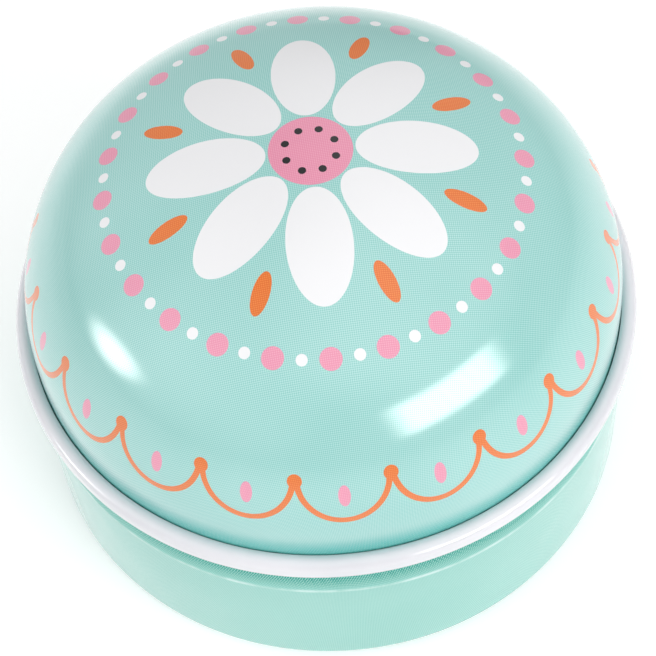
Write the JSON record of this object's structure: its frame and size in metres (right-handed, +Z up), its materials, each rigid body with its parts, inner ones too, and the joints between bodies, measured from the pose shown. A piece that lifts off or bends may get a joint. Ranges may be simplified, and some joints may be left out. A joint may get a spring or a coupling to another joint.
{
  "type": "round keepsake tin",
  "caption": "Small round tinplate keepsake box with a domed slip lid, a rolled white rim and a necked body, for baby teeth and other small treasures.",
  "frame": {"origin": "on the table under the middle of the tin, in the plane of the foot ring", "axes": "+Z up along the axis of body and lid; -Y towards the viewer, the lower side of the lid's printed design"},
  "size_m": [0.056, 0.056, 0.0399],
  "materials": {
    "body_lacquer": "gloss mint lacquer outside, white lacquer inside",
    "lid_lacquer": "gloss mint lacquer with a printed ornament outside, white lacquer inside and on the rolled rim"
  },
  "bodies": {
    "base": {"tin_body": "body_lacquer"},
    "lid": {"tin_lid": "lid_lacquer"}
  },
  "joints": [
    {"name": "lid_lift", "type": "slide", "parent": "base", "child": "lid", "axis": [0, 0, 1], "range_m": [0, 0.06]}
  ]
}
